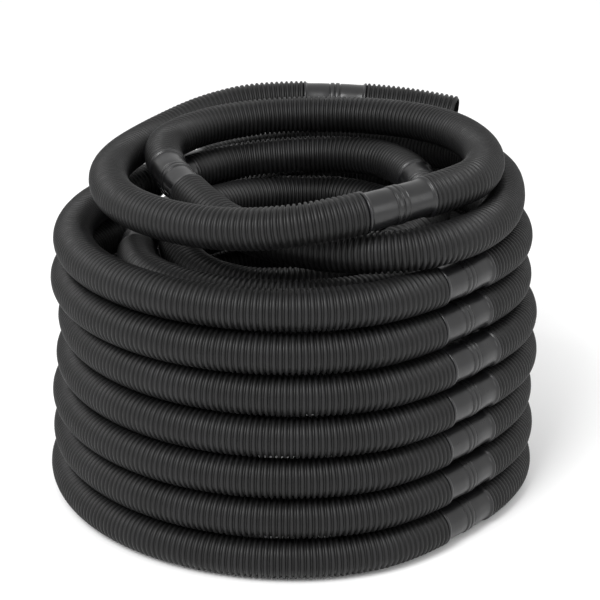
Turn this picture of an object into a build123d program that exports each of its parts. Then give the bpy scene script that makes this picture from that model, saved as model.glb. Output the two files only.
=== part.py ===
from build123d import *
import math
import os

# A coiled pool vacuum hose: blow-moulded corrugated sections with plain double cuffs between them.
# Frame: millimetres, +Z up, origin at the centre of the coil's foot, on the floor.
# Angles are in degrees about +Z from +X. The hose runs anticlockwise from its cut end.

# hose and cuffs
HOSE_OD = 39.0          # over the crests of the corrugation
HOSE_WALL = 1.8         # plain wall that stands for the corrugated one
CUFF_BORE = 32.0
CUFF_WALL = 1.25
CUFF_LENGTH = 68.0
COLLAR_LENGTH = 3.0     # the last crest, moulded onto each end of a cuff
COLLAR_DROP = 0.3       # how far the collar stays under the crests
RIB_RISE = 0.8
RIB_WIDTH = 4.6
RIB_SLOPE = 0.8         # length of the slope at each side of a rib
GROOVE_DEPTH = 0.5
GROOVE_WIDTH = 1.0
GROOVE_SLOPE = 0.4
COLLAR_EDGE = 0.5       # bevel on a collar's edge
FOOT_LENGTH = 0.8       # slope where the plain cuff meets a collar
FOOT_RISE = 0.6
END_CUFF_LENGTH = 30.0
END_BEAD_RISE = 1.2
END_BEAD_LENGTH = 3.0
END_BEAD_EDGE = 0.6

# coil
WALL_TURNS = 7
WALL_RADIUS = 223.0     # to the cuffs' corners; the corners between bulge out
BULGE = 4.0
INNER_GAP = 18.0        # between the wall and the loose turns inside it
TURN_GAP = 1.1          # between one wall turn and the next
HELIX_TURNS = 3
HELIX_STATIONS = 3      # for each turn of the loose inner helix
STEP_FROM = 22.0        # each wall turn steps down a layer between these two angles, at the back
STEP_TO = 133.0
# How far each wall turn, from the top one down, lies further out and to the right
OUTWARD = (-6.5, -4.2, -3.3, -0.5, 0.5, 2.4, 5.2)
SIDEWAYS = (0.0, -1.5, 5.0, 4.0, -0.5, 0.5, -1.0)
CUFF_LEAD = 40.0        # straight hose at each side of a cuff, from its end to the next corner
CUFF_CLEAR = 1.5        # of that lead, kept straight
RUNS = 7                # runs from one cuff's run to the next
ARC_SHARE = 0.45        # of the shorter run, used by a corner's arc

TURN_RISE = HOSE_OD + TURN_GAP
FLOOR_LEVEL = HOSE_OD / 2
TOP_LEVEL = FLOOR_LEVEL + (WALL_TURNS - 1) * TURN_RISE
INNER_RADIUS = WALL_RADIUS - HOSE_OD - INNER_GAP
CUFF_RUN = CUFF_LENGTH + 2 * CUFF_LEAD

# Corners of the loops that lie on the wall, from the cut end down to the first wall turn
TOP_LOOPS = [
    (176, 204, 320), (116, 223, 329), (-26, 226, 333), (-93, 204, 325), (-151, 155, 312),
    (-180, 83, 309), (-184, 5, 311), (-166, -73, 313), (-119, -134, 314), (-48, -181, 320),
    (31, -193, 333), (154, -119, 341), (184, -50, 338), (186, 30, 335), (163, 103, 333),
    (110, 156, 330), (36, 181, 327), (-42, 177, 325), (-108, 144, 320), (-143, 80, 315),
    (-86, -54, 299), (-41, -108, 291), (24, -152, 291), (92, -177, 298), (152, -152, 302),
    (192, -92, 302), (208, -18, 301), (210, 56, 301), (189, 126, 299), (141, 179, 294),
    (82, 214, 286), (12, 227, 276), (-61, 217, 268), (-183, 133, 261),
]
TOP_CUFFS = [1, 10, 19, 32]     # each cuff lies on the run after this corner
# Corners of the last turn, inside the wall, from the loose inner turns to the hose's inner end
INNER_END = [
    (4, 166, 243), (-60, 133, 248), (-102, 78, 253), (-115, 17, 254), (-110, -48, 249),
    (-82, -99, 244), (-28, -127, 243), (35, -124, 250), (89, -94, 268), (144, -36, 288),
    (118, 107, 294), (62, 157, 290), (-11, 160, 287), (-82, 155, 279), (-131, 103, 276),
]
INNER_CUFFS = [9]
# Angles of the coiled part, counted on past 360 as the hose winds
WALL_FROM = 900.0
FIRST_WALL_CUFF = 1038.0
WALL_CUFFS = 2 * WALL_TURNS - 1
LEAVES_WALL_AT = 3250.0
REACHES_INNER_AT = 3310.0
HELIX_TOP_AT = 4410.0
HELIX_TOP = TOP_LEVEL - 58.0
# The turn above the helix, as (angle, further out, above the top wall turn)
INNER_RISE = [(4498.0, 3.0, -13.0), (4640.0, 0.0, -11.0), (4745.0, 0.0, -15.0)]
FIRST_HELIX_CUFF = 3401.0
LAST_HELIX_CUFF = 4498.0
HELIX_CUFFS = 6
TOP_INNER_CUFF = 4720.0


def stations():
    """The coiled part's line, as (angle, radius, height, sideways), worked out turn by turn."""
    line = []
    for turn in range(WALL_TURNS):
        level = TOP_LEVEL - turn * TURN_RISE
        start = WALL_FROM + turn * 360
        low_side = start - 90 if turn == 0 else start - 180 + STEP_TO
        radius = WALL_RADIUS + OUTWARD[turn]
        line.append((low_side, radius, level, SIDEWAYS[turn]))
        if turn < WALL_TURNS - 1:
            line.append((start + 180 + STEP_FROM, radius, level, SIDEWAYS[turn]))
    line.append((LEAVES_WALL_AT, radius, FLOOR_LEVEL, SIDEWAYS[-1]))
    spans = HELIX_TURNS * HELIX_STATIONS
    for k in range(spans + 1):
        share = k / spans
        angle = REACHES_INNER_AT + (HELIX_TOP_AT - REACHES_INNER_AT) * share
        line.append((angle, INNER_RADIUS, FLOOR_LEVEL + (HELIX_TOP - FLOOR_LEVEL) * share, 0))
    for angle, out, above in INNER_RISE:
        line.append((angle, INNER_RADIUS + out, TOP_LEVEL + above, 0))
    return line


def meet(before, after):
    """Slope at a station: level where its two sides disagree, otherwise their harmonic mean."""
    if before * after <= 0:
        return 0.0
    return 2 * before * after / (before + after)


def at(line, angle, column):
    """One value of the line at an angle, on a cubic that never overshoots its stations."""
    last = len(line) - 2
    i = max(k for k in range(last + 1) if k == 0 or line[k][0] <= angle)

    def side(k):
        k = min(max(k, 0), last)
        return (line[k + 1][column] - line[k][column]) / (line[k + 1][0] - line[k][0])

    span = line[i + 1][0] - line[i][0]
    u = (angle - line[i][0]) / span
    a, b = line[i][column], line[i + 1][column]
    ma = meet(side(i - 1), side(i)) * span
    mb = meet(side(i), side(i + 1)) * span
    return a + u * ma + u * u * (3 * (b - a) - 2 * ma - mb) + u * u * u * (2 * (a - b) + ma + mb)


def place(line, angle, bulge):
    """The point of the line at an angle, moved out by bulge."""
    radius = at(line, angle, 1) + bulge
    x = radius * math.cos(math.radians(angle)) + at(line, angle, 3)
    y = radius * math.sin(math.radians(angle))
    return Vector(x, y, at(line, angle, 2))


def coil_cuffs():
    wall = [FIRST_WALL_CUFF + 180 * k for k in range(WALL_CUFFS)]
    step = (LAST_HELIX_CUFF - FIRST_HELIX_CUFF) / (HELIX_CUFFS - 1)
    helix = [FIRST_HELIX_CUFF + step * k for k in range(HELIX_CUFFS)]
    return wall + helix + [TOP_INNER_CUFF]


def corners():
    """All corners of the route, and for each cuff the number of the corner before it."""
    points = [Vector(*p) for p in TOP_LOOPS]
    cuff_at = list(TOP_CUFFS)
    line = stations()
    x, y, z = TOP_LOOPS[-1]
    previous = WALL_FROM - 180 + math.degrees(math.atan2(y, x))
    for centre in coil_cuffs():
        half = math.degrees(CUFF_RUN / 2 / at(line, centre, 1))
        for k in range(1, RUNS + 1):
            angle = previous + (centre - half - previous) * k / RUNS
            points.append(place(line, angle, 0 if k == RUNS else BULGE))
        cuff_at.append(len(points) - 1)
        previous = centre + half
        points.append(place(line, previous, 0))
    cuff_at += [len(points) + k for k in INNER_CUFFS]
    points += [Vector(*p) for p in INNER_END]
    return points, cuff_at


def arc_radius(points, i):
    """Radius of the arc at corner i: as large as its two runs allow, and clear of a cuff's ends."""
    into = points[i] - points[i - 1]
    out = points[i + 1] - points[i]
    half_turn = math.radians(into.get_angle(out)) / 2
    room = min(ARC_SHARE * min(into.length, out.length), CUFF_LEAD - CUFF_CLEAR)
    return room / math.tan(half_turn)


POINTS, CUFF_AT = corners()
RADII = [arc_radius(POINTS, i) for i in range(1, len(POINTS) - 1)]


def cuff_plane(i):
    """A plane at the middle of the run after corner i, looking along the hose."""
    a, b = POINTS[i], POINTS[i + 1]
    return Plane(origin=(a + b) * 0.5, z_dir=(b - a).normalized())


def section(name, first, last, start, end):
    """A hose section through corners first to last, from the point start to the point end."""
    with BuildPart() as tube:
        with BuildLine() as path:
            FilletPolyline(start, *POINTS[first:last + 1], end, radius=RADII[first - 1:last])
        with BuildSketch(Plane(origin=start, z_dir=POINTS[first] - start)):
            Circle(HOSE_OD / 2)
            Circle(HOSE_OD / 2 - HOSE_WALL, mode=Mode.SUBTRACT)
        sweep(path=path.wire())
    tube.part.label = name
    export_step(tube.part, f"parts/{name}.step")
    return path.wire().length, tube.part.volume


def half_outline():
    """Steps of a cuff's outline from its middle outwards: (distance from the middle, radius)."""
    body = CUFF_BORE / 2 + CUFF_WALL
    groove = body - GROOVE_DEPTH
    top = body + RIB_RISE
    rib = GROOVE_WIDTH / 2
    rib_end = rib + RIB_WIDTH
    collar = CUFF_LENGTH / 2 - COLLAR_LENGTH
    crest = HOSE_OD / 2 - COLLAR_DROP
    return [
        (rib, groove), (rib + RIB_SLOPE, top), (rib_end - RIB_SLOPE, top), (rib_end, groove),
        (rib_end + GROOVE_WIDTH, groove), (rib_end + GROOVE_WIDTH + GROOVE_SLOPE, body),
        (collar - FOOT_LENGTH, body), (collar, body + FOOT_RISE),
        (collar + COLLAR_EDGE, crest - COLLAR_EDGE), (collar + 2 * COLLAR_EDGE, crest),
        (CUFF_LENGTH / 2, crest),
    ]


def double_cuff(name, plane):
    """Two plain cuffs end to end, with two ribs between them and a collar at each end."""
    steps = half_outline()
    outline = [(r, -z) for z, r in reversed(steps)] + [(r, z) for z, r in steps]
    bore = CUFF_BORE / 2
    with BuildPart() as cuff:
        with BuildSketch(Plane(origin=plane.origin, x_dir=plane.x_dir, z_dir=-plane.y_dir)):
            with BuildLine():
                Polyline((bore, -CUFF_LENGTH / 2), *outline, (bore, CUFF_LENGTH / 2), close=True)
            make_face()
        revolve(axis=Axis(plane.origin, plane.z_dir))
    cuff.part.label = name
    export_step(cuff.part, f"parts/{name}.step")
    return cuff.part


def end_cuff(plane):
    """A single cuff on the hose's inner end, with a collar behind and a bead at its mouth."""
    body = CUFF_BORE / 2 + CUFF_WALL
    crest = HOSE_OD / 2 - COLLAR_DROP
    mouth = END_CUFF_LENGTH + COLLAR_LENGTH
    bead = body + END_BEAD_RISE
    bore = CUFF_BORE / 2
    outline = [
        (bore, 0), (crest, 0), (crest, COLLAR_LENGTH - 2 * COLLAR_EDGE),
        (crest - COLLAR_EDGE, COLLAR_LENGTH - COLLAR_EDGE), (body + FOOT_RISE, COLLAR_LENGTH),
        (body, COLLAR_LENGTH + FOOT_LENGTH), (body, mouth - END_BEAD_LENGTH),
        (bead, mouth - END_BEAD_LENGTH + END_BEAD_EDGE), (bead, mouth - END_BEAD_EDGE),
        (bead - END_BEAD_EDGE, mouth), (bore, mouth),
    ]
    with BuildPart() as cuff:
        with BuildSketch(Plane(origin=plane.origin, x_dir=plane.x_dir, z_dir=-plane.y_dir)):
            with BuildLine():
                Polyline(*outline, close=True)
            make_face()
        revolve(axis=Axis(plane.origin, plane.z_dir))
    cuff.part.label = "end_cuff"
    export_step(cuff.part, "parts/end_cuff.step")
    return cuff.part


def build():
    os.makedirs("parts", exist_ok=True)
    planes = [cuff_plane(i) for i in CUFF_AT]
    for number, plane in enumerate(planes, 1):
        double_cuff(f"cuff_{number:02d}", plane)

    tail = (POINTS[-1] - POINTS[-2]).normalized()
    last_face = POINTS[-1] - tail * (END_CUFF_LENGTH + COLLAR_LENGTH)
    end_cuff(Plane(origin=last_face, z_dir=tail))

    half = CUFF_LENGTH / 2
    starts = [POINTS[0]] + [p.origin + p.z_dir * half for p in planes]
    ends = [p.origin - p.z_dir * half for p in planes] + [last_face]
    firsts = [1] + [i + 1 for i in CUFF_AT]
    lasts = CUFF_AT + [len(POINTS) - 2]
    ring = math.pi * ((HOSE_OD / 2) ** 2 - (HOSE_OD / 2 - HOSE_WALL) ** 2)
    total = 0.0
    for number in range(1, len(starts) + 1):
        k = number - 1
        length, volume = section(f"hose_section_{number:02d}", firsts[k], lasts[k], starts[k], ends[k])
        total += length
        print(f"section {number:02d}: length {length:.1f}, volume ratio {volume / (ring * length):.4f}")
    cuffs = len(planes) * CUFF_LENGTH + END_CUFF_LENGTH + COLLAR_LENGTH
    print(f"hose length {(total + cuffs) / 1000:.3f} m, of which cuffs {cuffs / 1000:.3f} m")
    print("arc radii:", " ".join(f"{r:.0f}" for r in RADII))
    print("cut end:", POINTS[0], "direction", (POINTS[0] - POINTS[1]).normalized())
    print("end cuff mouth:", POINTS[-1], "direction", tail)


build()
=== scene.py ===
import math

import bpy
import numpy as np
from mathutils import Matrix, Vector


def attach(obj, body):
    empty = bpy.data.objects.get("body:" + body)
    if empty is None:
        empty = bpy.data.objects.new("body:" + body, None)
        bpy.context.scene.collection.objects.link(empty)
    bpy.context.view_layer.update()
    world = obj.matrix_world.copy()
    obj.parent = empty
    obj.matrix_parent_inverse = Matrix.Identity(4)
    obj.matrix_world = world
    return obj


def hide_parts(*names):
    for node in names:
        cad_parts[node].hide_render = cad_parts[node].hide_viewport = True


# The looks of a coiled pool vacuum hose: corrugated lengths with plain double cuffs between them.
# Metres in the row frame, with +Z up and the coil standing on the floor. Angles are in degrees.

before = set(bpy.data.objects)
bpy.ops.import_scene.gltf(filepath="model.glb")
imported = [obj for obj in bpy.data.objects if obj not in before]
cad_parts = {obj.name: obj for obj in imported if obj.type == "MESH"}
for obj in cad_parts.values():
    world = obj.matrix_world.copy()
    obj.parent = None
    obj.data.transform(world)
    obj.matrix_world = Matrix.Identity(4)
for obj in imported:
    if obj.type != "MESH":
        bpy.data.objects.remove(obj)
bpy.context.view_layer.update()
MM = 0.001

# ---------------------------------------------------------------- camera

SENSOR = 36.0
LENS = 104.9
CAMERA_AT = Vector((0, -1.636, 0.8324))
CAMERA_TILT = 21.63     # looking down
CAMERA_SHIFT = 0.0117   # the object stands a little left of the frame's middle


def make_camera():
    camera = bpy.data.objects.new("camera", bpy.data.cameras.new("camera"))
    camera.data.sensor_width = SENSOR
    camera.data.lens = LENS
    camera.data.shift_x = CAMERA_SHIFT
    camera.location = CAMERA_AT
    camera.rotation_euler = (math.radians(90 - CAMERA_TILT), 0, 0)
    bpy.context.collection.objects.link(camera)
    bpy.context.scene.camera = camera


make_camera()

# ---------------------------------------------------------------- the hose's route

HOSE_OD = 0.039
CUFF_LENGTH = 0.068
END_CUFF_LENGTH = 0.033     # with its collar
WALL_TURNS = 7
WALL_RADIUS = 0.223
BULGE = 0.004               # of the points between two cuffs
INNER_GAP = 0.018           # between the wall and the loose turns inside it
TURN_GAP = 0.0011           # between one wall turn and the next
HELIX_TURNS = 3
HELIX_STATIONS = 3          # for each turn of the loose inner helix
STEP_FROM = 22.0            # each wall turn steps down a layer between these two angles, at the back
STEP_TO = 133.0
# How far each wall turn, from the top one down, lies further out and to the right
OUTWARD = (-0.0065, -0.0042, -0.0033, -0.0005, 0.0005, 0.0024, 0.0052)
SIDEWAYS = (0.0, -0.0015, 0.005, 0.004, -0.0005, 0.0005, -0.001)
CUFF_LEAD = 0.040           # hose at each side of a cuff, from its end to the next point
RUNS = 7                    # runs from one cuff's run to the next
TURN_RISE = HOSE_OD + TURN_GAP
FLOOR_LEVEL = HOSE_OD / 2
TOP_LEVEL = FLOOR_LEVEL + (WALL_TURNS - 1) * TURN_RISE
INNER_RADIUS = WALL_RADIUS - HOSE_OD - INNER_GAP
CUFF_RUN = CUFF_LENGTH + 2 * CUFF_LEAD

# Points of the loops that lie on the wall, from the cut end down to the first wall turn
TOP_LOOPS = [
    (0.176, 0.204, 0.320), (0.116, 0.223, 0.329), (-0.026, 0.226, 0.333), (-0.093, 0.204, 0.324),
    (-0.151, 0.155, 0.308), (-0.180, 0.083, 0.307), (-0.184, 0.005, 0.311), (-0.166, -0.073, 0.313),
    (-0.119, -0.134, 0.314), (-0.048, -0.181, 0.320), (0.031, -0.193, 0.333), (0.154, -0.119, 0.341),
    (0.184, -0.050, 0.338), (0.186, 0.030, 0.335), (0.163, 0.103, 0.333), (0.110, 0.156, 0.330),
    (0.036, 0.181, 0.327), (-0.042, 0.177, 0.325), (-0.108, 0.144, 0.320), (-0.143, 0.080, 0.315),
    (-0.086, -0.054, 0.299), (-0.041, -0.108, 0.291), (0.024, -0.152, 0.291), (0.092, -0.177, 0.298),
    (0.152, -0.152, 0.302), (0.192, -0.092, 0.302), (0.208, -0.018, 0.301), (0.210, 0.056, 0.301),
    (0.189, 0.126, 0.297), (0.141, 0.179, 0.290), (0.082, 0.214, 0.288), (0.012, 0.227, 0.280),
    (-0.061, 0.217, 0.272), (-0.183, 0.133, 0.257),
]
TOP_CUFFS = [1, 10, 19, 32]     # each cuff lies on the run after this point
# Points of the last turn, inside the wall, to the hose's inner end
INNER_END = [
    (0.004, 0.166, 0.243), (-0.060, 0.133, 0.248), (-0.102, 0.078, 0.253), (-0.115, 0.017, 0.254),
    (-0.110, -0.048, 0.249), (-0.082, -0.099, 0.244), (-0.028, -0.127, 0.243), (0.035, -0.124, 0.250),
    (0.089, -0.094, 0.268), (0.144, -0.036, 0.288), (0.118, 0.107, 0.294), (0.062, 0.157, 0.290),
    (-0.011, 0.160, 0.287), (-0.082, 0.155, 0.279), (-0.131, 0.103, 0.276),
]
INNER_CUFFS = [9]
# Angles of the coiled part, counted on past 360 as the hose winds
WALL_FROM = 900.0
FIRST_WALL_CUFF = 1038.0
WALL_CUFFS = 2 * WALL_TURNS - 1
LEAVES_WALL_AT = 3250.0
REACHES_INNER_AT = 3310.0
HELIX_TOP_AT = 4410.0
HELIX_TOP = TOP_LEVEL - 0.058
# The turn above the helix, as (angle, further out, above the top wall turn)
INNER_RISE = [(4498.0, 0.003, -0.013), (4640.0, 0.0, -0.011), (4745.0, 0.0, -0.015)]
FIRST_HELIX_CUFF = 3401.0
LAST_HELIX_CUFF = 4498.0
HELIX_CUFFS = 6
TOP_INNER_CUFF = 4720.0


def stations():
    """The coiled part's line, as (angle, radius, height, sideways), worked out turn by turn."""
    line = []
    for turn in range(WALL_TURNS):
        level = TOP_LEVEL - turn * TURN_RISE
        start = WALL_FROM + turn * 360
        low_side = start - 90 if turn == 0 else start - 180 + STEP_TO
        radius = WALL_RADIUS + OUTWARD[turn]
        line.append((low_side, radius, level, SIDEWAYS[turn]))
        if turn < WALL_TURNS - 1:
            line.append((start + 180 + STEP_FROM, radius, level, SIDEWAYS[turn]))
    line.append((LEAVES_WALL_AT, radius, FLOOR_LEVEL, SIDEWAYS[-1]))
    spans = HELIX_TURNS * HELIX_STATIONS
    for k in range(spans + 1):
        share = k / spans
        angle = REACHES_INNER_AT + (HELIX_TOP_AT - REACHES_INNER_AT) * share
        line.append((angle, INNER_RADIUS, FLOOR_LEVEL + (HELIX_TOP - FLOOR_LEVEL) * share, 0))
    for angle, out, above in INNER_RISE:
        line.append((angle, INNER_RADIUS + out, TOP_LEVEL + above, 0))
    return line


def meet(before, after):
    """Slope at a station: level where its two sides disagree, otherwise their harmonic mean."""
    if before * after <= 0:
        return 0.0
    return 2 * before * after / (before + after)


def at(line, angle, column):
    """One value of the line at an angle, on a cubic that never overshoots its stations."""
    last = len(line) - 2
    i = max(k for k in range(last + 1) if k == 0 or line[k][0] <= angle)

    def side(k):
        k = min(max(k, 0), last)
        return (line[k + 1][column] - line[k][column]) / (line[k + 1][0] - line[k][0])

    span = line[i + 1][0] - line[i][0]
    u = (angle - line[i][0]) / span
    a, b = line[i][column], line[i + 1][column]
    ma = meet(side(i - 1), side(i)) * span
    mb = meet(side(i), side(i + 1)) * span
    return a + u * ma + u * u * (3 * (b - a) - 2 * ma - mb) + u * u * u * (2 * (a - b) + ma + mb)


def place(line, angle, bulge):
    """The point of the line at an angle, moved out by bulge."""
    radius = at(line, angle, 1) + bulge
    x = radius * math.cos(math.radians(angle)) + at(line, angle, 3)
    y = radius * math.sin(math.radians(angle))
    return (x, y, at(line, angle, 2))


def coil_cuffs():
    wall = [FIRST_WALL_CUFF + 180 * k for k in range(WALL_CUFFS)]
    step = (LAST_HELIX_CUFF - FIRST_HELIX_CUFF) / (HELIX_CUFFS - 1)
    helix = [FIRST_HELIX_CUFF + step * k for k in range(HELIX_CUFFS)]
    return wall + helix + [TOP_INNER_CUFF]


def route():
    """All points of the route, and for each cuff the number of the point before it."""
    points = list(TOP_LOOPS)
    cuff_at = list(TOP_CUFFS)
    line = stations()
    x, y, _ = TOP_LOOPS[-1]
    previous = WALL_FROM - 180 + math.degrees(math.atan2(y, x))
    for centre in coil_cuffs():
        half = math.degrees(CUFF_RUN / 2 / at(line, centre, 1))
        for k in range(1, RUNS + 1):
            angle = previous + (centre - half - previous) * k / RUNS
            points.append(place(line, angle, 0 if k == RUNS else BULGE))
        cuff_at.append(len(points) - 1)
        previous = centre + half
        points.append(place(line, previous, 0))
    cuff_at += [len(points) + k for k in INNER_CUFFS]
    return points + INNER_END, cuff_at


LINE_RESOLUTION = 32        # steps that the spline is drawn with, from one of its points to the next
SAME_PLACE = 1e-7           # points of the drawn line nearer than this are one


def read_line(points):
    """The smooth line of the route's NURBS spline, as an array of points."""
    curve = bpy.data.curves.new("route", "CURVE")
    curve.dimensions = "3D"
    curve.resolution_u = LINE_RESOLUTION
    spline = curve.splines.new("NURBS")
    spline.points.add(len(points) - 1)
    for point, where in zip(spline.points, points):
        point.co = (*where, 1)
    spline.order_u = 3
    spline.use_endpoint_u = True
    holder = bpy.data.objects.new("route", curve)
    mesh = bpy.data.meshes.new_from_object(holder)
    line = np.empty(len(mesh.vertices) * 3)
    mesh.vertices.foreach_get("co", line)
    bpy.data.objects.remove(holder)
    bpy.data.curves.remove(curve)
    bpy.data.meshes.remove(mesh)
    return line.reshape(-1, 3)


POINTS, CUFF_AT = route()
LINE = read_line(POINTS)
STEPS = np.linalg.norm(np.diff(LINE, axis=0), axis=1)
LINE = LINE[np.concatenate([[True], STEPS > SAME_PLACE])]
ALONG = np.concatenate([[0], np.cumsum(np.linalg.norm(np.diff(LINE, axis=0), axis=1))])
HEADING = np.gradient(LINE, ALONG, axis=0)
HOSE_LENGTH = float(ALONG[-1])


def on_line(s, values):
    """The values, given at the line's points, read off at the distances s along it."""
    return np.stack([np.interp(s, ALONG, values[:, k]) for k in range(3)], axis=1)


def distance_to(point):
    """How far along the hose the line passes a point."""
    return float(ALONG[np.argmin(np.linalg.norm(LINE - point, axis=1))])


CUFF_CENTRES = [distance_to((np.array(POINTS[i]) + np.array(POINTS[i + 1])) / 2) for i in CUFF_AT]

# ---------------------------------------------------------------- mesh work

HOSE_SPOKES = 28
CUFF_SPOKES = 48
STRIPS = 3          # the surface map lies in this many strips side by side
STRIP_EDGE = 0.01   # kept clear at each side of a strip
SHARP_FROM = 80     # degrees between two faces


def rings(s, r, spokes):
    """Rings round the hose's line. The ring of radius r at distance s is c(s) + r (cos a side + sin a up),
    where side is level and square to the line's heading, up is square to both, and a goes once round."""
    centre = on_line(s, LINE)
    heading = on_line(s, HEADING)
    heading /= np.linalg.norm(heading, axis=1, keepdims=True)
    side = np.cross(heading, (0.0, 0.0, 1.0))
    side /= np.linalg.norm(side, axis=1, keepdims=True)
    up = np.cross(side, heading)
    a = np.linspace(0, 2 * np.pi, spokes, endpoint=False)[None, :, None]
    outward = np.cos(a) * side[:, None] + np.sin(a) * up[:, None]
    return centre[:, None] + r[:, None, None] * outward


def tube(name, outside, inside, spokes):
    """A closed tube wall from two outlines, each an array of (distance along the hose, radius):
    rings outside from the first end to the last, then inside back again.
    Rings and spokes both close on themselves, so every edge has two faces.
    The attribute depth is how far a point lies below the crests, in millimetres; the materials paint shade
    deeper with it."""
    s, r = np.concatenate([outside, inside[::-1]]).T
    count = len(s)
    ring, spoke = np.meshgrid(np.arange(count), np.arange(spokes), indexing="ij")
    corner_ring = np.stack([ring, ring + 1, ring + 1, ring], axis=-1)
    corner_spoke = np.stack([spoke, spoke, spoke + 1, spoke + 1], axis=-1)
    corners = (corner_ring % count) * spokes + corner_spoke % spokes
    mesh = bpy.data.meshes.new(name)
    mesh.vertices.add(count * spokes)
    mesh.vertices.foreach_set("co", rings(s, r, spokes).ravel())
    mesh.loops.add(corners.size)
    mesh.loops.foreach_set("vertex_index", corners.ravel())
    mesh.polygons.add(count * spokes)
    mesh.polygons.foreach_set("loop_start", np.arange(0, corners.size, 4))
    mesh.update(calc_edges=True)
    mesh.polygons.foreach_set("use_smooth", np.ones(count * spokes, bool))
    mesh.set_sharp_from_angle(angle=math.radians(SHARP_FROM))
    depth = mesh.attributes.new("depth", "FLOAT", "POINT")
    depth.data.foreach_set("value", np.repeat((HOSE_OD / 2 - r) / MM, spokes))
    rows = math.ceil(count / STRIPS)
    strip = (ring // rows)[..., None]
    across = STRIP_EDGE + (1 - 2 * STRIP_EDGE) * corner_spoke / spokes
    surface_map = mesh.uv_layers.new(name="OFBake", do_init=False)
    places = np.stack([(strip + across) / STRIPS, (corner_ring - strip * rows) / rows], axis=-1)
    surface_map.uv.foreach_set("vector", places.astype(np.float32).ravel())
    made = bpy.data.objects.new(name, mesh)
    bpy.context.collection.objects.link(made)
    return made


# ---------------------------------------------------------------- the corrugated hose

PITCH = 5.2 * MM
ROOT_RADIUS = 17.3 * MM
HOSE_WALL = 1.0 * MM
BORE_RADIUS = ROOT_RADIUS - HOSE_WALL
# One corrugation: share of the pitch, and share of the height from root to crest
CORRUGATION = np.array([
    (0.00, 0.00), (0.14, 0.06), (0.22, 0.48), (0.32, 0.88),
    (0.50, 1.00), (0.68, 0.88), (0.78, 0.48), (0.86, 0.06),
])
BORE_PITCHES = 2    # pitches from one ring of the plain bore to the next
CUFF_BORE_RADIUS = 16.0 * MM
LINER_RADIUS = CUFF_BORE_RADIUS - 0.1 * MM
LINER_WALL = 0.7 * MM


def corrugated(start, end):
    """The outline of a corrugated length: a whole number of corrugations, with a root at each end."""
    count = round((end - start) / PITCH)
    pitch = (end - start) / count
    s = start + pitch * (np.arange(count)[:, None] + CORRUGATION[:, 0])
    r = ROOT_RADIUS + (HOSE_OD / 2 - ROOT_RADIUS) * np.tile(CORRUGATION[:, 1], (count, 1))
    outline = np.stack([s.ravel(), r.ravel()], axis=1)
    return np.concatenate([outline, [(end, ROOT_RADIUS)]])


def plain(start, end, radius, step):
    """A straight outline from start to end, in steps of about the length given."""
    s = np.linspace(start, end, max(2, round((end - start) / step) + 1))
    return np.stack([s, np.full(len(s), radius)], axis=1)


def hose_length(name, spans):
    """One length of hose over one or more spans. Between two spans it passes through a cuff as a liner."""
    outside, inside = [], []
    for k, (start, end) in enumerate(spans):
        if k:
            before = spans[k - 1][1]
            outside.append(plain(before, start, LINER_RADIUS, PITCH))
            inside.append(plain(before, start, LINER_RADIUS - LINER_WALL, PITCH))
        outside.append(corrugated(start, end))
        inside.append(plain(start, end, BORE_RADIUS, BORE_PITCHES * PITCH))
    made = tube(name, np.concatenate(outside), np.concatenate(inside), HOSE_SPOKES)
    made.data.materials.append(HOSE_PLASTIC)
    return made


# ---------------------------------------------------------------- the double cuffs

EASE = 0.35 * MM            # how far from a corner of an outline its rounding starts
CUFF_BORE_STEP = 10 * MM    # from one ring of a cuff's bore to the next
# Steps of a double cuff's outline in millimetres: distance from its middle, radius
HALF_CUFF = [
    (0.5, 16.65), (1.2, 18.05), (4.4, 18.05), (5.1, 16.65), (6.1, 16.65), (6.5, 17.25),
    (14.0, 17.3), (24.0, 17.2), (29.6, 17.25), (30.9, 17.8), (31.5, 18.8), (32.2, 19.3),
    (33.3, 19.3), (34.0, 18.4),
]
END_CUFF = [
    (0.0, 18.4), (0.7, 19.3), (1.8, 19.3), (2.5, 18.8), (3.1, 17.8), (4.4, 17.25), (16.0, 17.2),
    (29.0, 17.25), (29.8, 18.45), (32.2, 18.45), (33.0, 17.6),
]


def eased(outline):
    """The outline with each inner corner B between A and C rounded by three points: B moved towards A
    and towards C by EASE, or by a third of a shorter side, and the middle of those two drawn to B."""
    a, b, c = outline[:-2], outline[1:-1], outline[2:]

    def towards(other):
        apart = other - b
        size = np.linalg.norm(apart, axis=1, keepdims=True)
        return b + apart * np.minimum(EASE / size, 1 / 3)

    before, after = towards(a), towards(c)
    middle = (before + after + 2 * b) / 4
    inner = np.stack([before, middle, after], axis=1).reshape(-1, 2)
    return np.concatenate([outline[:1], inner, outline[-1:]])


def cuff(name, steps, middle, material):
    """A cuff on the hose's line: its outline outside, and a plain bore."""
    outline = eased(np.array(steps) * MM + (middle, 0))
    bore = plain(outline[0, 0], outline[-1, 0], CUFF_BORE_RADIUS, CUFF_BORE_STEP)
    made = tube(name, outline, bore, CUFF_SPOKES)
    made.data.materials.append(material)
    return made


# ---------------------------------------------------------------- materials


def colour(hex_code):
    """An sRGB hex value as linear RGBA."""
    parts = [int(hex_code[i:i + 2], 16) / 255 for i in (0, 2, 4)]
    linear = [p / 12.92 if p <= 0.04045 else ((p + 0.055) / 1.055) ** 2.4 for p in parts]
    return (*linear, 1.0)


def add(tree, kind, settings=None, values=None, links=None):
    """Adds a node with its settings, its input values, and links from {input: (node, output)}."""
    node = tree.nodes.new(kind)
    for name, value in (settings or {}).items():
        setattr(node, name, value)
    for name, value in (values or {}).items():
        node.inputs[name].default_value = value
    for name, (source, output) in (links or {}).items():
        tree.links.new(source.outputs[output], node.inputs[name])
    return node


def per_metre(millimetres):
    """A noise scale whose features are about this many millimetres across."""
    return 1 / (millimetres * MM)


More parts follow.
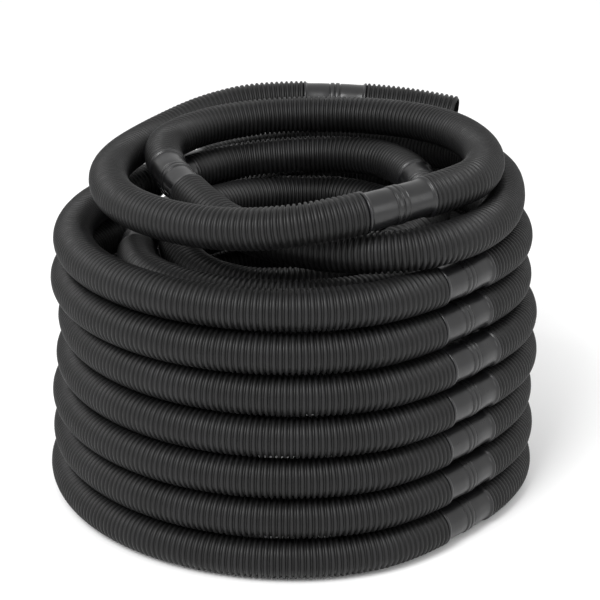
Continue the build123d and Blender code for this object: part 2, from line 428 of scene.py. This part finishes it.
CLOUD = 45.0        # mm, patches where the black is a little greyer
SCUFF = 9.0         # mm, handling marks that change the gloss
NOISE_LOW = 0.3     # nearly all of a noise texture lies between these two
NOISE_HIGH = 0.7
ROOT_DEPTH = 2.2    # mm below the crests, where the painted shade is deepest
ROOT_SHADE = 0.2    # how much of the lighter black is left there: painted shade in the roots, recesses and bores
POLYETHYLENE_IOR = 1.51


def moulded_plastic(name, dark, light, smooth, rough, specular, grain, lift):
    """Black moulded polyethylene, cloudy between two blacks, with a roughness that scuffs change
    and a moulded grain. Below the crests the colour is painted darker with depth, as painted shade
    in the roots, the recesses and the bores.
    The grain's size and its lift off the surface are in millimetres."""
    made = bpy.data.materials.new(name)
    made.use_nodes = True
    tree = made.node_tree
    tree.nodes.clear()
    out = add(tree, "ShaderNodeOutputMaterial")
    where = add(tree, "ShaderNodeTexCoord")
    cloud = add(tree, "ShaderNodeTexNoise", values={"Scale": per_metre(CLOUD), "Detail": 3.0},
                links={"Vector": (where, "Object")})
    scuff = add(tree, "ShaderNodeTexNoise", values={"Scale": per_metre(SCUFF), "Detail": 4.0},
                links={"Vector": (where, "Object")})
    fine = add(tree, "ShaderNodeTexNoise", values={"Scale": per_metre(grain), "Detail": 2.0},
               links={"Vector": (where, "Object")})
    depth = add(tree, "ShaderNodeAttribute", {"attribute_name": "depth"})
    # painted shade: the lighter black fades with depth below the crests, darkest in roots, recesses and
    # bores
    shade = add(tree, "ShaderNodeMapRange", values={
        "From Min": 0.0, "From Max": ROOT_DEPTH, "To Min": 1.0, "To Max": ROOT_SHADE,
    }, links={"Value": (depth, "Fac")})
    spread = add(tree, "ShaderNodeMapRange", values={
        "From Min": NOISE_LOW, "From Max": NOISE_HIGH, "To Min": 0.0, "To Max": 1.0,
    }, links={"Value": (cloud, "Fac")})
    lit = add(tree, "ShaderNodeMath", {"operation": "MULTIPLY"})
    tree.links.new(spread.outputs["Result"], lit.inputs[0])
    tree.links.new(shade.outputs["Result"], lit.inputs[1])
    tint = add(tree, "ShaderNodeMix", {"data_type": "RGBA"})
    tint.inputs[6].default_value = colour(dark)
    tint.inputs[7].default_value = colour(light)
    tree.links.new(lit.outputs[0], tint.inputs[0])
    roughness = add(tree, "ShaderNodeMapRange", values={
        "From Min": NOISE_LOW, "From Max": NOISE_HIGH, "To Min": smooth, "To Max": rough,
    }, links={"Value": (scuff, "Fac")})
    bump = add(tree, "ShaderNodeBump", values={"Strength": 1.0, "Distance": lift * MM},
               links={"Height": (fine, "Fac")})
    body = add(tree, "ShaderNodeBsdfPrincipled", values={
        "IOR": POLYETHYLENE_IOR, "Specular IOR Level": specular,
    })
    tree.links.new(tint.outputs[2], body.inputs["Base Color"])
    tree.links.new(roughness.outputs["Result"], body.inputs["Roughness"])
    tree.links.new(bump.outputs["Normal"], body.inputs["Normal"])
    tree.links.new(body.outputs["BSDF"], out.inputs["Surface"])
    return made


# Blow-moulded LDPE: a satin, slightly waxy black whose crests catch a soft light; its roots carry painted
# shade.
HOSE_PLASTIC = moulded_plastic(
    "black blow-moulded LDPE hose", dark="0b0b0b", light="151516",
    smooth=0.42, rough=0.56, specular=0.32, grain=1.6, lift=0.05,
)
# The same polyethylene pressed smooth against the mould where the cuffs are: a cleaner, tighter gloss,
# with painted shade in its lower parts and bore.
CUFF_PLASTIC = moulded_plastic(
    "black smooth-moulded LDPE cuff", dark="0e0e0f", light="1a1a1c",
    smooth=0.27, rough=0.38, specular=0.5, grain=2.5, lift=0.03,
)

# ---------------------------------------------------------------- pieces

cuff_names = [f"cuff_{k:02d}" for k in range(1, len(CUFF_CENTRES) + 1)]
for node, middle in zip(cuff_names, CUFF_CENTRES):
    mirrored = [(-s, r) for s, r in reversed(HALF_CUFF)]
    piece = cuff(f"moulded_{node}", mirrored + HALF_CUFF, middle, CUFF_PLASTIC)
    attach(piece, "root")
    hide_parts(node)

end_piece = cuff("moulded_end_cuff", END_CUFF, HOSE_LENGTH - END_CUFF_LENGTH, CUFF_PLASTIC)
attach(end_piece, "root")
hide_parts("end_cuff")

# The first length is too short to be a cord of its own. It is one piece with the length beside it,
# and passes through the cuff between them.
starts = [0.0] + [middle + CUFF_LENGTH / 2 for middle in CUFF_CENTRES]
ends = [middle - CUFF_LENGTH / 2 for middle in CUFF_CENTRES] + [HOSE_LENGTH - END_CUFF_LENGTH]
last = len(starts)
groups = [(1, 2)] + [(k,) for k in range(3, last + 1)]
for group in groups:
    name = "corrugated_" + "_".join(f"{k:02d}" for k in group)
    spans = [(starts[k - 1], ends[k - 1]) for k in group]
    piece = hose_length(name, spans)
    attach(piece, "root")
    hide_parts(*[f"hose_section_{k:02d}" for k in group])

# ---------------------------------------------------------------- floor and light

FLOOR_SIZE = 16.0
PAPER_ROUGHNESS = 0.9
SKY_STRENGTH = 1.0
LIGHT_AIM = (0, 0, 0.2)     # about the middle of the coil
LIGHT_SIZE = 1.2
# Where each soft box stands, and its power in watts
KEY_AT = (-0.9, -1.6, 2.2)
KEY_POWER = 60
FILL_AT = (1.8, -1.2, 1.2)
FILL_POWER = 8


def make_floor():
    """A flat square of white paper, its four corners at height 0."""
    half = FLOOR_SIZE / 2
    mesh = bpy.data.meshes.new("floor")
    corners = [(-half, -half, 0), (half, -half, 0), (half, half, 0), (-half, half, 0)]
    mesh.from_pydata(corners, [], [(0, 1, 2, 3)])
    floor = bpy.data.objects.new("floor", mesh)
    bpy.context.collection.objects.link(floor)
    paper = bpy.data.materials.new("white paper sweep")
    paper.use_nodes = True
    body = paper.node_tree.nodes["Principled BSDF"]
    body.inputs["Base Color"].default_value = colour("f4f4f4")
    body.inputs["Roughness"].default_value = PAPER_ROUGHNESS
    mesh.materials.append(paper)


def soft_box(name, where, power):
    """A square area light, turned to face the middle of the coil."""
    light = bpy.data.lights.new(name, "AREA")
    light.shape = "SQUARE"
    light.size = LIGHT_SIZE
    light.energy = power
    lamp = bpy.data.objects.new(name, light)
    lamp.location = where
    lamp.rotation_euler = (Vector(LIGHT_AIM) - Vector(where)).to_track_quat("-Z", "Y").to_euler()
    bpy.context.collection.objects.link(lamp)


def make_light():
    """An even white sky, a large soft box at the upper left and a weak one at the right."""
    world = bpy.data.worlds.new("studio")
    world.use_nodes = True
    sky = world.node_tree.nodes["Background"]
    sky.inputs["Color"].default_value = colour("ffffff")
    sky.inputs["Strength"].default_value = SKY_STRENGTH
    bpy.context.scene.world = world
    # keeps the lit paper white
    bpy.context.scene.view_settings.view_transform = "Standard"
    soft_box("key", KEY_AT, KEY_POWER)
    soft_box("fill", FILL_AT, FILL_POWER)


make_floor()
make_light()
